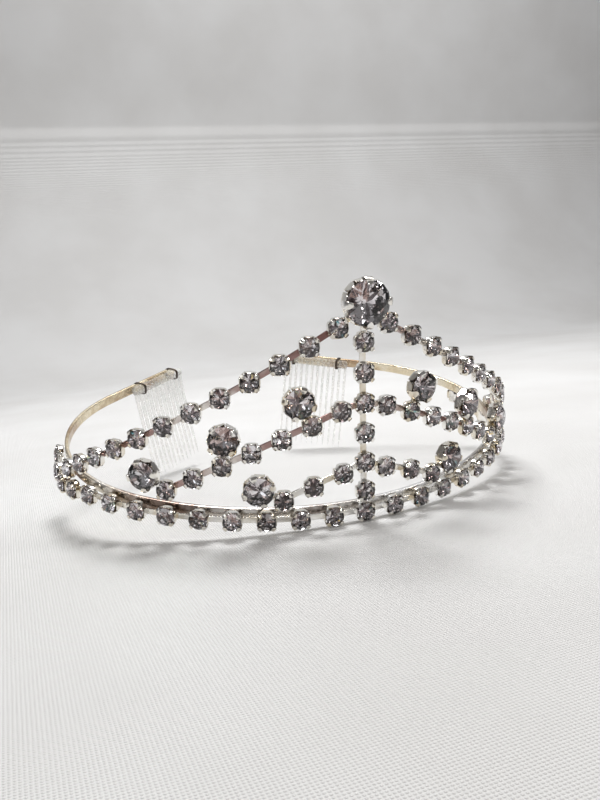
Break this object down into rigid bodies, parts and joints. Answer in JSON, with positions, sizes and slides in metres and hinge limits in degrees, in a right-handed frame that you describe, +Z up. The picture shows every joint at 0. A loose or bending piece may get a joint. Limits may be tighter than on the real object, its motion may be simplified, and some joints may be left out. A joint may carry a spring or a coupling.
{
  "type": "bridal tiara",
  "caption": "Bridal tiara: sprung headband with falling rows of round crystal cups, a crest crystal, accent crystals, and a clear comb tied inside each end.",
  "frame": {"origin": "the middle of the tiara's underside: the centre of its box in X and Y, on the surface it stands on", "axes": "+Z up; the decorated front faces -Y; +X is to the right of someone who looks at the front"},
  "size_m": [0.1262, 0.1126, 0.054],
  "materials": {
    "silver_plate": "bright silver plate on stamped cups and link bars, with a warm tint in places",
    "pale_gold_plate": "thin plate over a brassy strip, a pale champagne gold, smooth and lightly brushed",
    "crystal": "clear cut glass with a foil back and sharp facets",
    "clear_plastic": "clear moulded plastic, glossy",
    "tie_wire": "dull brown craft wire"
  },
  "bodies": {
    "tiara": {"headband": "pale_gold_plate", "base_row": "silver_plate", "centre_column": "silver_plate", "upper_row_left": "silver_plate", "upper_row_right": "silver_plate", "middle_row_left": "silver_plate", "middle_row_right": "silver_plate", "lower_row_left": "silver_plate", "lower_row_right": "silver_plate", "column_crystal_1": "crystal", "column_crystal_2": "crystal", "column_crystal_3": "crystal", "column_crystal_4": "crystal", "column_crystal_5": "crystal", "column_crystal_6": "crystal", "middle_left_crystal_1": "crystal", "middle_left_crystal_2": "crystal", "middle_left_crystal_3": "crystal", "middle_left_crystal_4": "crystal", "middle_left_crystal_5": "crystal", "middle_left_crystal_6": "crystal", "middle_left_crystal_7": "crystal", "middle_right_crystal_1": "crystal", "middle_right_crystal_2": "crystal", "middle_right_crystal_3": "crystal", "middle_right_crystal_4": "crystal", "middle_right_crystal_5": "crystal", "middle_right_crystal_6": "crystal", "middle_right_crystal_7": "crystal", "lower_left_crystal_1": "crystal", "lower_left_crystal_2": "crystal", "lower_left_crystal_3": "crystal", "lower_right_crystal_1": "crystal", "lower_right_crystal_2": "crystal", "lower_right_crystal_3": "crystal", "crest_setting": "silver_plate", "crest_crystal": "crystal", "accent_setting_left_1": "silver_plate", "accent_setting_left_2": "silver_plate", "accent_setting_left_3": "silver_plate", "accent_setting_left_4": "silver_plate", "accent_setting_right_1": "silver_plate", "accent_setting_right_2": "silver_plate", "accent_setting_right_3": "silver_plate", "accent_setting_right_4": "silver_plate", "accent_crystal_left_1": "crystal", "accent_crystal_left_2": "crystal", "accent_crystal_left_3": "crystal", "accent_crystal_left_4": "crystal", "accent_crystal_right_1": "crystal", "accent_crystal_right_2": "crystal", "accent_crystal_right_3": "crystal", "accent_crystal_right_4": "crystal", "tie_left_front": "tie_wire", "tie_left_rear": "tie_wire", "tie_right_front": "tie_wire", "tie_right_rear": "tie_wire"},
    "left_comb": {"left_comb": "clear_plastic"},
    "right_comb": {"right_comb": "clear_plastic"}
  },
  "joints": [
    {"name": "left_comb_rock", "type": "hinge", "parent": "tiara", "child": "left_comb", "pos_m": [-0.027, 0.04698, 0.02973], "axis": [-0.7859, -0.593, -0.1756], "range_deg": [-12, 18]},
    {"name": "right_comb_rock", "type": "hinge", "parent": "tiara", "child": "right_comb", "pos_m": [0.027, 0.04698, 0.02973], "axis": [-0.7859, 0.593, 0.1756], "range_deg": [-12, 18]}
  ]
}
